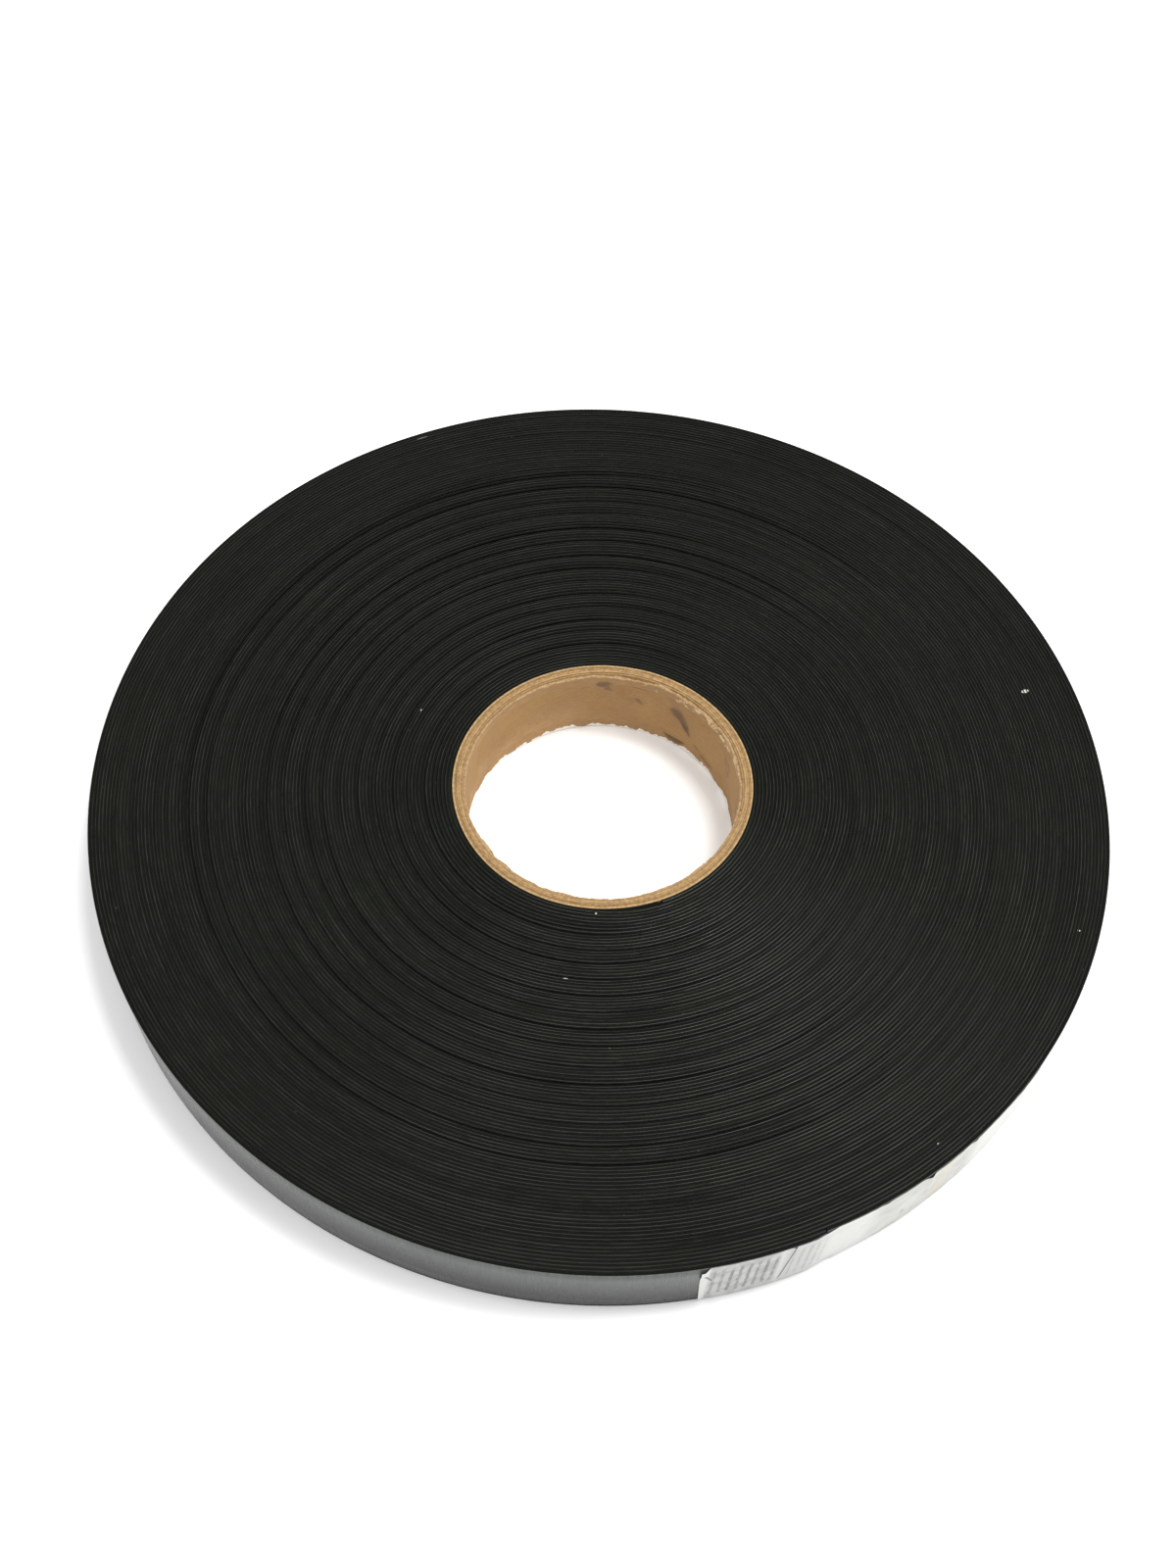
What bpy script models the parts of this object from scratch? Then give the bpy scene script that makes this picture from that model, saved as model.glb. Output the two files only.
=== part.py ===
"""Narrow roll of thick black tape on a wound paperboard core.

Frame: metres, +Z up along the roll's axis, origin at the centre of the face
that the roll lies on.  The tape is one strip, wound counter-clockwise seen
from above, with a release liner on its outer side.  It is 103 turns long.
The first 102 turns are modelled as twelve spiral windings of eight and a half
turns each, every one stepped at both ends as the strip is.  The last turn is
the real strip: tape and liner apart, ending in a tail that peels off the roll.
"""
import bpy
import bmesh
from math import radians, cos, sin, pi
from mathutils import Vector

for old in list(bpy.data.objects):
    bpy.data.objects.remove(old, do_unlink=True)

MM = 0.001

# ---- driving dimensions -------------------------------------------------
BORE_R = 38.10 * MM          # three inch bore
CORE_WALL = 3.50 * MM        # paperboard wall
PLY_COUNT = 6                # strips of board wound on each other
PLY_GAP = 0.04 * MM          # glue line
SEAM_WIDTH = 0.30 * MM       # butt seam between a ply's neighbouring turns
SEAM_SLANT = radians(38.0)   # lie of the seam against the roll's axis

TAPE_WIDTH = 25.40 * MM      # one inch
TAPE_T = 0.80 * MM           # black carrier with its adhesive
LINER_T = 0.12 * MM          # grey release liner
BOND_GAP = 0.03 * MM
PITCH = 0.976 * MM           # radius gained in each turn
WINDING_GAP = 0.10 * MM      # between two windings
CORE_CLEAR = 0.10 * MM       # core to first turn
LINER_INSET = 0.15 * MM      # the liner is a little narrower than the tape

TURNS = 103
BAND_COUNT = 12
BAND_TURNS = 8.5
STEPS = 60                   # facets in one turn
END_ANGLE = radians(-64.5)   # where the strip ends
CUT_GAP = 0.20 * MM          # between two neighbouring lengths of strip

TAIL_HINGES = 4              # bend lines in the peeling tail, one facet apart
END_FACETS = 4               # facets in the tail's last, straight-held length
FLAP_FACETS = 3              # facets of liner that peel off the tape's end

LABEL_T = 0.12 * MM
LABEL_GAP = 0.08 * MM
LABEL_ON_TAIL = 13.0 / 6.0   # facets of the label on the tail
LABEL_PAST_END = 31.5 / 6.0  # facets of the label past the strip's end
LABEL_INSET = 0.30 * MM

CORE_R = BORE_R + CORE_WALL
FIRST_R = CORE_R + CORE_CLEAR
LAST = TURNS * STEPS         # vertex number of the strip's outer end


# ---- materials ----------------------------------------------------------
def material(name, colour, roughness, metallic=0.0):
    mat = bpy.data.materials.new(name)
    mat.use_nodes = True
    bsdf = mat.node_tree.nodes["Principled BSDF"]
    bsdf.inputs["Base Color"].default_value = (*colour, 1.0)
    bsdf.inputs["Roughness"].default_value = roughness
    bsdf.inputs["Metallic"].default_value = metallic
    mat.diffuse_color = (*colour, 1.0)
    return mat


# ---- geometry helpers ---------------------------------------------------
def vertex(index, lift):
    """Corner number index of the strip's polygon, lift above its inner side."""
    turn = index / STEPS
    angle = END_ANGLE + 2.0 * pi * (turn - TURNS)
    radius = FIRST_R + PITCH * turn + lift
    return Vector((radius * cos(angle), radius * sin(angle)))


def on_strip(u, lift):
    """Point at vertex number u, which may lie between two corners."""
    low = int(u // 1)
    part = u - low
    if part < 1e-9:
        return vertex(low, lift)
    return vertex(low, lift).lerp(vertex(low + 1, lift), part)


def run(u0, u1, lift):
    """The strip's side from u0 to u1, with every corner between."""
    inner = [k for k in range(int(u0 // 1) + 1, int(u1 // 1) + 1)
             if u0 + 1e-6 < k < u1 - 1e-6]
    return [on_strip(u, lift) for u in [u0] + inner + [u1]]


def ring_points(radius):
    return [Vector((radius * cos(END_ANGLE + 2.0 * pi * k / STEPS),
                    radius * sin(END_ANGLE + 2.0 * pi * k / STEPS)))
            for k in range(STEPS)]


def slab(name, loops, z0, z1, mat, pivot=(0.0, 0.0), parent=None):
    """Fill the outline between the closed loops and raise it from z0 to z1."""
    bm = bmesh.new()
    edges = []
    for loop in loops:
        verts = [bm.verts.new((p.x - pivot[0], p.y - pivot[1], z0)) for p in loop]
        for k, v in enumerate(verts):
            edges.append(bm.edges.new((v, verts[(k + 1) % len(verts)])))
    fill = bmesh.ops.triangle_fill(bm, use_beauty=True, edges=edges,
                                   normal=(0.0, 0.0, 1.0))
    faces = [f for f in fill["geom"] if isinstance(f, bmesh.types.BMFace)]
    raised = bmesh.ops.extrude_face_region(bm, geom=faces)
    top = [v for v in raised["geom"] if isinstance(v, bmesh.types.BMVert)]
    bmesh.ops.translate(bm, verts=top, vec=(0.0, 0.0, z1 - z0))
    bmesh.ops.recalc_face_normals(bm, faces=bm.faces[:])
    mesh = bpy.data.meshes.new(name)
    bm.to_mesh(mesh)
    bm.free()
    mesh.shade_smooth()
    mesh.set_sharp_from_angle(angle=radians(30.0))
    mesh.materials.append(mat)
    obj = bpy.data.objects.new(name, mesh)
    bpy.context.scene.collection.objects.link(obj)
    if parent is not None:
        obj.parent = parent
    else:
        obj.location = (pivot[0], pivot[1], 0.0)
    return obj


def hinge_empty(name, point, parent=None, parent_point=(0.0, 0.0)):
    """Empty on a bend line; the pieces past the line are its children."""
    empty = bpy.data.objects.new(name, None)
    empty.empty_display_size = 0.01
    bpy.context.scene.collection.objects.link(empty)
    empty.parent = parent
    empty.location = (point.x - parent_point[0], point.y - parent_point[1], 0.0)
    return empty


# ---- core: plies of paperboard, each with its slanted butt seam ----------
ply_t = (CORE_WALL - (PLY_COUNT - 1) * PLY_GAP) / PLY_COUNT
for n in range(PLY_COUNT):
    if n == 0:
        ply_name, colour = "core_inner_ply", (0.56, 0.44, 0.31)
    elif n == PLY_COUNT - 1:
        ply_name, colour = "core_outer_ply", (0.62, 0.50, 0.36)
    else:
        ply_name, colour = f"core_ply_{n + 1}", (0.50, 0.37, 0.24)
    r_in = BORE_R + n * (ply_t + PLY_GAP)
    r_out = r_in + ply_t
    ply = slab(ply_name, [ring_points(r_out), ring_points(r_in)], 0.0, TAPE_WIDTH,
               material(ply_name, colour, 0.85))

    seam_angle = END_ANGLE + radians(6.0) * (9 * n + 2) + radians(3.0)
    seam_mesh = bpy.data.meshes.new(f"seam_cutter_{n + 1}")
    bm = bmesh.new()
    bmesh.ops.create_cube(bm, size=1.0)
    bmesh.ops.scale(bm, vec=(ply_t * 3.0, SEAM_WIDTH, TAPE_WIDTH * 2.0), verts=bm.verts[:])
    bm.to_mesh(seam_mesh)
    bm.free()
    seam = bpy.data.objects.new(f"seam_cutter_{n + 1}", seam_mesh)
    bpy.context.scene.collection.objects.link(seam)
    middle = (r_in + r_out) / 2.0
    seam.rotation_euler = (SEAM_SLANT * (1 if n % 2 else -1), 0.0, seam_angle)
    seam.location = (middle * cos(seam_angle), middle * sin(seam_angle), TAPE_WIDTH / 2.0)
    # Long enough along the radius to clear the wall where the seam curves away.
    seam.scale = (4.0, 1.0, 1.0)
    seam.hide_render = True
    seam.display_type = 'WIRE'
    cut = ply.modifiers.new("butt_seam", 'BOOLEAN')
    cut.operation = 'DIFFERENCE'
    cut.object = seam

# ---- wound turns ---------------------------------------------------------
cut_step = CUT_GAP / (2.0 * pi * 90.0 * MM / STEPS)   # gap in facets, mid roll
band_mat = material("wound_tape", (0.022, 0.023, 0.022), 0.62)
for n in range(BAND_COUNT):
    start = int(round(n * BAND_TURNS * STEPS))
    stop = int(round((n + 1) * BAND_TURNS * STEPS))
    outer = run(stop - STEPS, stop, PITCH - WINDING_GAP)
    if n == 0:
        inner = ring_points(FIRST_R)
    else:
        inner = run(start + cut_step, start + STEPS + cut_step, 0.0)
    slab(f"tape_winding_{n + 1:02d}", [outer, inner], 0.0, TAPE_WIDTH, band_mat)

# ---- last turn: tape and liner -------------------------------------------
tape_mat = material("tape_strip", (0.020, 0.021, 0.020), 0.60)
liner_mat = material("release_liner", (0.23, 0.23, 0.235), 0.42)
label_mat = material("label_paper", (0.86, 0.86, 0.85), 0.55)
half_cut = 0.5 * CUT_GAP / (2.0 * pi * 142.0 * MM / STEPS)

TAPE_IN, TAPE_OUT = 0.0, TAPE_T
LINER_IN = TAPE_T + BOND_GAP
LINER_OUT = LINER_IN + LINER_T


def length_of_tape(name, u0, u1, pivot=(0.0, 0.0), parent=None):
    loop = run(u0, u1, TAPE_OUT) + run(u0, u1, TAPE_IN)[::-1]
    return slab(name, [loop], 0.0, TAPE_WIDTH, tape_mat, pivot, parent)


def length_of_liner(name, u0, u1, pivot=(0.0, 0.0), parent=None):
    loop = run(u0, u1, LINER_OUT) + run(u0, u1, LINER_IN)[::-1]
    return slab(name, [loop], LINER_INSET, TAPE_WIDTH - LINER_INSET, liner_mat,
                pivot, parent)


first_hinge = LAST - END_FACETS - TAIL_HINGES + 1
length_of_tape("outer_turn_tape", LAST - STEPS + 2.0 * half_cut, first_hinge - half_cut)
length_of_liner("outer_turn_liner", LAST - STEPS + 2.0 * half_cut, first_hinge - half_cut)

# ---- tail: short lengths, each hinged on the strip's outer side -----------
parent = None
parent_point = (0.0, 0.0)
for n in range(TAIL_HINGES):
    u0 = first_hinge + n
    u1 = u0 + 1 if n < TAIL_HINGES - 1 else LAST
    axis_point = on_strip(u0, LINER_OUT)
    pivot = (axis_point.x, axis_point.y)
    parent = hinge_empty(f"tail_bend_{n + 1}", axis_point, parent, parent_point)
    parent_point = pivot
    end = u1 - half_cut if n < TAIL_HINGES - 1 else float(LAST)
    length_of_tape(f"tail_tape_{n + 1}", u0 + half_cut, end, pivot, parent)
    liner_end = (u1 if n < TAIL_HINGES - 1 else LAST - FLAP_FACETS) - half_cut
    length_of_liner(f"tail_liner_{n + 1}", u0 + half_cut, liner_end, pivot, parent)

# ---- end of the liner, with the label stuck across the strip's end ---------
flap_start = LAST - FLAP_FACETS
flap_point = on_strip(flap_start, LINER_OUT)
flap = hinge_empty("liner_bend", flap_point, parent, parent_point)
flap_pivot = (flap_point.x, flap_point.y)
length_of_liner("liner_end_flap", flap_start + half_cut, float(LAST), flap_pivot, flap)


def label_side(lift):
    on_tail = run(LAST - LABEL_ON_TAIL, float(LAST), LINER_OUT + lift)
    past = run(float(LAST - STEPS + 1), LAST - STEPS + LABEL_PAST_END, LINER_OUT + lift)
    return on_tail + past


slab("paper_label",
     [label_side(LABEL_GAP + LABEL_T) + label_side(LABEL_GAP)[::-1]],
     LABEL_INSET, TAPE_WIDTH - LABEL_INSET, label_mat, flap_pivot, flap)

bpy.context.view_layer.update()
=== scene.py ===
from math import pi, radians, degrees, sin, cos, hypot

import bpy
import numpy as np
from mathutils import Matrix, Vector


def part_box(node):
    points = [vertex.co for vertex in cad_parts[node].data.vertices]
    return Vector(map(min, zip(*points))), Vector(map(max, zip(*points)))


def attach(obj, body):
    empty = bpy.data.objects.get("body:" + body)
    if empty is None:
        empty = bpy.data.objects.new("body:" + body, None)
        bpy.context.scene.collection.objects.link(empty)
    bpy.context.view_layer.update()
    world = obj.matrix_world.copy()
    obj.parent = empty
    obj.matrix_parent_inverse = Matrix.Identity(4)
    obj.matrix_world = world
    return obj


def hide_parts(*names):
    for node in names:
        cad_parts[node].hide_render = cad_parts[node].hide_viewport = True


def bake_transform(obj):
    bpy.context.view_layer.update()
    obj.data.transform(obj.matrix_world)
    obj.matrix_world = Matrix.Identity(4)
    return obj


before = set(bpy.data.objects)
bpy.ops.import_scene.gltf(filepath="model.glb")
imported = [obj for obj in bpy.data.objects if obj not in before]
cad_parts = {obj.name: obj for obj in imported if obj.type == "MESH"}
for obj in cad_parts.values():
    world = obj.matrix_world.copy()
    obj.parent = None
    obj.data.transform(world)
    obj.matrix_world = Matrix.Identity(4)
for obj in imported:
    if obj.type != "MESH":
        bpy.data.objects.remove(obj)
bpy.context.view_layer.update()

MM = 0.001
SCENE = bpy.context.scene

# ---------------------------------------------------------------------------
# sizes, the CAD part's own
# ---------------------------------------------------------------------------
core_lo, core_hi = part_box("core_inner_ply")
H = core_hi.z
BORE_R = 38.10 * MM
CORE_WALL = 3.50 * MM
PLY_COUNT = 6
PLY_GAP = 0.04 * MM
PLY_T = (CORE_WALL - (PLY_COUNT - 1) * PLY_GAP) / PLY_COUNT
SEAM_SLANT = radians(38.0)
FIRST_R = BORE_R + CORE_WALL + 0.10 * MM
PITCH = 0.976 * MM
TURNS = 103
STEPS = 60
LAST = TURNS * STEPS
END = radians(-64.5)
BAND_TURNS = 8.5
BAND_COUNT = 12
TAPE_T = 0.80 * MM
LINER_IN = 0.83 * MM
LINER_OUT = 0.95 * MM
HINGE = LAST - 7            # vertex number of the tail's first bend line
FLAP = LAST - 3             # vertex number of the liner's bend line


# ---------------------------------------------------------------------------
# mesh helpers
# ---------------------------------------------------------------------------
def smoothstep(a, b, x):
    t = np.clip((np.asarray(x, float) - a) / (b - a), 0.0, 1.0)
    return t * t * (3.0 - 2.0 * t)


_tables = {}


def noise1(x, seed):
    """Smooth value noise of one variable, from -1 to 1."""
    x = np.asarray(x, float)
    if seed not in _tables:
        _tables[seed] = np.random.RandomState(1000 + seed).uniform(-1.0, 1.0, 4096)
    table = _tables[seed]
    low = np.floor(x).astype(int)
    part = x - low
    part = part * part * (3.0 - 2.0 * part)
    return table[low % 4096] * (1.0 - part) + table[(low + 1) % 4096] * part


def noise2(x, y, seed):
    """Smooth value noise of two variables, from -1 to 1."""
    x, y = np.broadcast_arrays(np.asarray(x, float), np.asarray(y, float))
    if seed not in _tables:
        _tables[seed] = np.random.RandomState(1000 + seed).uniform(-1.0, 1.0, (256, 256))
    table = _tables[seed]
    ix, iy = np.floor(x).astype(int), np.floor(y).astype(int)
    px, py = x - ix, y - iy
    px = px * px * (3.0 - 2.0 * px)
    py = py * py * (3.0 - 2.0 * py)
    a = table[ix % 256, iy % 256] * (1 - px) + table[(ix + 1) % 256, iy % 256] * px
    b = table[ix % 256, (iy + 1) % 256] * (1 - px) + table[(ix + 1) % 256, (iy + 1) % 256] * px
    return a * (1 - py) + b * py


def build(name, verts, quads, ngons, materials, quad_slots=None, ngon_slots=None,
          sharp=35.0):
    """A mesh object from a vertex array, an array of quads and a list of end faces."""
    verts = np.asarray(verts, np.float64)
    quads = np.asarray(quads, np.int64)
    a, b, c, d = (verts[quads[:, k]] for k in range(4))
    volume = (np.einsum("ij,ij->", a, np.cross(b, c))
              + np.einsum("ij,ij->", a, np.cross(c, d)))
    for face in ngons:
        p = verts[list(face)]
        for k in range(1, len(face) - 1):
            volume += np.dot(p[0], np.cross(p[k], p[k + 1]))
    if volume < 0:
        quads = quads[:, ::-1]
        ngons = [list(face)[::-1] for face in ngons]
    mesh = bpy.data.meshes.new(name)
    loops = np.concatenate([quads.ravel()] + [np.asarray(f, np.int64) for f in ngons])
    sizes = np.concatenate([np.full(len(quads), 4), np.array([len(f) for f in ngons], int)]).astype(np.int64)
    starts = np.concatenate([[0], np.cumsum(sizes)[:-1]])
    mesh.vertices.add(len(verts))
    mesh.vertices.foreach_set("co", verts.astype(np.float32).ravel())
    mesh.loops.add(len(loops))
    mesh.loops.foreach_set("vertex_index", loops.astype(np.int32))
    mesh.polygons.add(len(sizes))
    mesh.polygons.foreach_set("loop_start", starts.astype(np.int32))
    mesh.polygons.foreach_set("loop_total", sizes.astype(np.int32))
    slots = np.zeros(len(sizes), np.int32)
    if quad_slots is not None:
        slots[:len(quads)] = quad_slots
    if ngon_slots is not None:
        slots[len(quads):] = ngon_slots
    for mat in materials:
        mesh.materials.append(mat)
    mesh.polygons.foreach_set("material_index", slots)
    mesh.update(calc_edges=True)
    mesh.validate()
    mesh.shade_smooth()
    mesh.set_sharp_from_angle(angle=radians(sharp))
    obj = bpy.data.objects.new(name, mesh)
    SCENE.collection.objects.link(obj)
    return obj


def sweep(name, rings, materials, section_slots=None, sharp=35.0, closed=False):
    """A closed solid: rings is (stations, points of the section, 3)."""
    n, p, _ = rings.shape
    idx = np.arange(n * p).reshape(n, p)
    nxt = np.roll(idx, -1, axis=1)
    if closed:
        i0, i1 = idx, np.roll(idx, -1, axis=0)
        j0, j1 = nxt, np.roll(nxt, -1, axis=0)
        caps = []
    else:
        i0, i1 = idx[:-1], idx[1:]
        j0, j1 = nxt[:-1], nxt[1:]
        caps = [list(idx[0]), list(idx[-1][::-1])]
    quads = np.stack([i0, i1, j1, j0], -1).reshape(-1, 4)
    slots = None
    if section_slots is not None:
        slots = np.broadcast_to(np.asarray(section_slots, np.int32), i0.shape).ravel()
    return build(name, rings.reshape(-1, 3), quads, caps, materials, slots,
                 None, sharp)


def strip_angle(t):
    return END + 2.0 * pi * (np.asarray(t, float) - TURNS)


def polar(radius, angle, z):
    radius, angle, z = np.broadcast_arrays(radius, angle, z)
    return np.stack([radius * np.cos(angle), radius * np.sin(angle), z], -1)


# ---------------------------------------------------------------------------
# the roll's own unevenness
# ---------------------------------------------------------------------------
def out_of_round(t, angle):
    """How far the turn stands from a true circle there."""
    share = np.sin(pi * np.clip(t / 102.0, 0.0, 1.0)) ** 0.8
    wave = (0.50 * np.sin(2.0 * angle + 1.0 + 0.012 * t) + 0.30 * np.sin(3.0 * angle + 2.2)
            + 0.24 * np.sin(5.0 * angle + 0.4 - 0.02 * t) + 0.12 * np.sin(8.0 * angle + 1.9))
    return 0.85 * MM * share * wave


def turn_radius(t):
    """Inner radius of the strip. Near the core each turn lies close and climbs over the strip's start."""
    t = np.asarray(t, float)
    whole = np.floor(t)
    part = t - whole
    ramp = smoothstep(0.90, 1.0, part)
    loose = smoothstep(0.0, 9.0, t)
    return FIRST_R + PITCH * (whole + part * loose + ramp * (1.0 - loose))


def oval(t, angle):
    """The core is a little oval, and the roll rounds itself out towards the rim."""
    return 0.80 * MM * np.cos(2.0 * (angle - radians(11.0))) * (1.0 - np.clip(np.asarray(t, float) / 101.0, 0.0, 1.0))


def one_slack_turn(t):
    t = np.asarray(t, float)
    low = np.zeros_like(t)
    for k in range(14):
        first = int(round(7.0 + 4.6 * k + 0.045 * k * k))
        start = first + 0.290 + 0.06 * noise1(k * 3.7, 11)
        stop = first + 1.11 + 0.05 * noise1(k * 2.9, 12)
        depth = (0.75, 0.55, 0.9, 0.6, 0.8, 0.5, 0.95, 0.7, 0.6, 0.9, 0.6, 0.5, 0.85, 0.9)[k]
        low = np.maximum(low, depth * smoothstep(start, start + 0.17, t)
                         * (1.0 - smoothstep(stop - 0.17, stop, t)))
    return low


def slack_turn(t):
    """0 to 1: where a turn was wound slack and lies low, and its neighbours lean a little after it."""
    return np.maximum(one_slack_turn(t), np.maximum(0.34 * one_slack_turn(t - 1.0), 0.20 * one_slack_turn(t + 1.0)))


def top_of_turn(t, angle):
    """Height of the strip's upper edge."""
    own = 0.045 * noise1(t * 1.0 + 0.5, 21) + 0.03 * noise1(t * 3.0, 22)
    group = 0.05 * noise1(t / 6.0, 23)
    return H + MM * (own + group - 0.09) - 0.72 * MM * slack_turn(t)


def foot_of_turn(t, angle):
    return MM * (0.05 + 0.04 * noise1(t * 1.3 + 9.0, 24))


# ---------------------------------------------------------------------------
# materials
# ---------------------------------------------------------------------------
class Tree:
    """A small builder for one material's nodes."""

    def __init__(self, name, roughness=0.5, specular=0.5, sheen=0.0, coat=0.0):
        self.mat = bpy.data.materials.new(name)
        self.mat.use_nodes = True
        self.nt = self.mat.node_tree
        self.nt.nodes.clear()
        self.out = self.nt.nodes.new("ShaderNodeOutputMaterial")
        self.bsdf = self.nt.nodes.new("ShaderNodeBsdfPrincipled")
        self.nt.links.new(self.bsdf.outputs[0], self.out.inputs[0])
        self.bsdf.inputs["Roughness"].default_value = roughness
        self.bsdf.inputs["Specular IOR Level"].default_value = specular
        self.bsdf.inputs["Sheen Weight"].default_value = sheen
        self.bsdf.inputs["Coat Weight"].default_value = coat
        coords = self.nt.nodes.new("ShaderNodeTexCoord")
        self.pos = coords.outputs["Object"]
        sep = self.nt.nodes.new("ShaderNodeSeparateXYZ")
        self.nt.links.new(self.pos, sep.inputs[0])
        self.x, self.y, self.z = sep.outputs
        self.r = self.math("SQRT", self.math("ADD", self.math("MULTIPLY", self.x, self.x),
                                             self.math("MULTIPLY", self.y, self.y)))
        self.angle = self.math("ARCTAN2", self.y, self.x)
        self.cos = self.math("DIVIDE", self.x, self.r)
        self.sin = self.math("DIVIDE", self.y, self.r)

    def facing(self):
        """The vertical part of the surface's own direction."""
        geometry = self.nt.nodes.new("ShaderNodeNewGeometry")
        sep = self.nt.nodes.new("ShaderNodeSeparateXYZ")
        self.nt.links.new(geometry.outputs["True Normal"], sep.inputs[0])
        return sep.outputs[2]

    def put(self, socket, value):
        if isinstance(value, bpy.types.NodeSocket):
            self.nt.links.new(value, socket)
        elif value is not None:
            socket.default_value = value

    def math(self, op, a, b=None, c=None, clamp=False):
        node = self.nt.nodes.new("ShaderNodeMath")
        node.operation = op
        node.use_clamp = clamp
        for k, value in enumerate((a, b, c)):
            self.put(node.inputs[k], value)
        return node.outputs[0]

    def vector(self, x, y, z):
        node = self.nt.nodes.new("ShaderNodeCombineXYZ")
        for k, value in enumerate((x, y, z)):
            self.put(node.inputs[k], value)
        return node.outputs[0]

    def noise(self, vector, scale=1.0, detail=2.0, roughness=0.5, distortion=0.0):
        node = self.nt.nodes.new("ShaderNodeTexNoise")
        self.put(node.inputs["Vector"], vector)
        node.inputs["Scale"].default_value = scale
        node.inputs["Detail"].default_value = detail
        node.inputs["Roughness"].default_value = roughness
        node.inputs["Distortion"].default_value = distortion
        return node.outputs[0]

    def cells(self, vector, scale):
        node = self.nt.nodes.new("ShaderNodeTexVoronoi")
        self.put(node.inputs["Vector"], vector)
        node.inputs["Scale"].default_value = scale
        return node.outputs["Distance"]

    def step(self, value, low, high):
        """0 below low, 1 above high, smooth between."""
        node = self.nt.nodes.new("ShaderNodeMapRange")
        node.interpolation_type = "SMOOTHSTEP"
        self.put(node.inputs[0], value)
        node.inputs[1].default_value = low
        node.inputs[2].default_value = high
        node.inputs[3].default_value = 0.0
        node.inputs[4].default_value = 1.0
        return node.outputs[0]

    def remap(self, value, low, high, to_low, to_high):
        node = self.nt.nodes.new("ShaderNodeMapRange")
        self.put(node.inputs[0], value)
        for k, v in enumerate((low, high, to_low, to_high)):
            node.inputs[k + 1].default_value = v
        return node.outputs[0]

    def mix(self, factor, a, b, mode="MIX"):
        node = self.nt.nodes.new("ShaderNodeMix")
        node.data_type = "RGBA"
        node.blend_type = mode
        self.put(node.inputs[0], factor)
        for socket, value in ((node.inputs[6], a), (node.inputs[7], b)):
            self.put(socket, (*value, 1.0) if isinstance(value, tuple) else value)
        return node.outputs[2]

    def spot(self, degrees_, radius, size_r, size_a):
        """1 at a point of the face given by angle and radius, 0 beyond its size."""
        a = radians(degrees_)
        dx = self.math("SUBTRACT", self.x, radius * cos(a))
        dy = self.math("SUBTRACT", self.y, radius * sin(a))
        along = self.math("ADD", self.math("MULTIPLY", dx, cos(a)), self.math("MULTIPLY", dy, sin(a)))
        across = self.math("ADD", self.math("MULTIPLY", dx, -sin(a)), self.math("MULTIPLY", dy, cos(a)))
        d = self.math("ADD", self.math("POWER", self.math("ABSOLUTE", self.math("DIVIDE", along, size_r)), 2.0),
                      self.math("POWER", self.math("ABSOLUTE", self.math("DIVIDE", across, size_a)), 2.0))
        return self.math("SUBTRACT", 1.0, d, clamp=True)

    def bump(self, height, strength, distance, normal=None):
        node = self.nt.nodes.new("ShaderNodeBump")
        node.inputs["Strength"].default_value = strength
        node.inputs["Distance"].default_value = distance
        self.put(node.inputs["Height"], height)
        if normal is not None:
            self.put(node.inputs["Normal"], normal)
        return node.outputs[0]

    def finish(self, colour=None, roughness=None, normal=None):
        if colour is not None:
            self.put(self.bsdf.inputs["Base Color"], (*colour, 1.0) if isinstance(colour, tuple) else colour)
        if roughness is not None:
            self.put(self.bsdf.inputs["Roughness"], roughness)
        if normal is not None:
            self.put(self.bsdf.inputs["Normal"], normal)
        return self.mat


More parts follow.
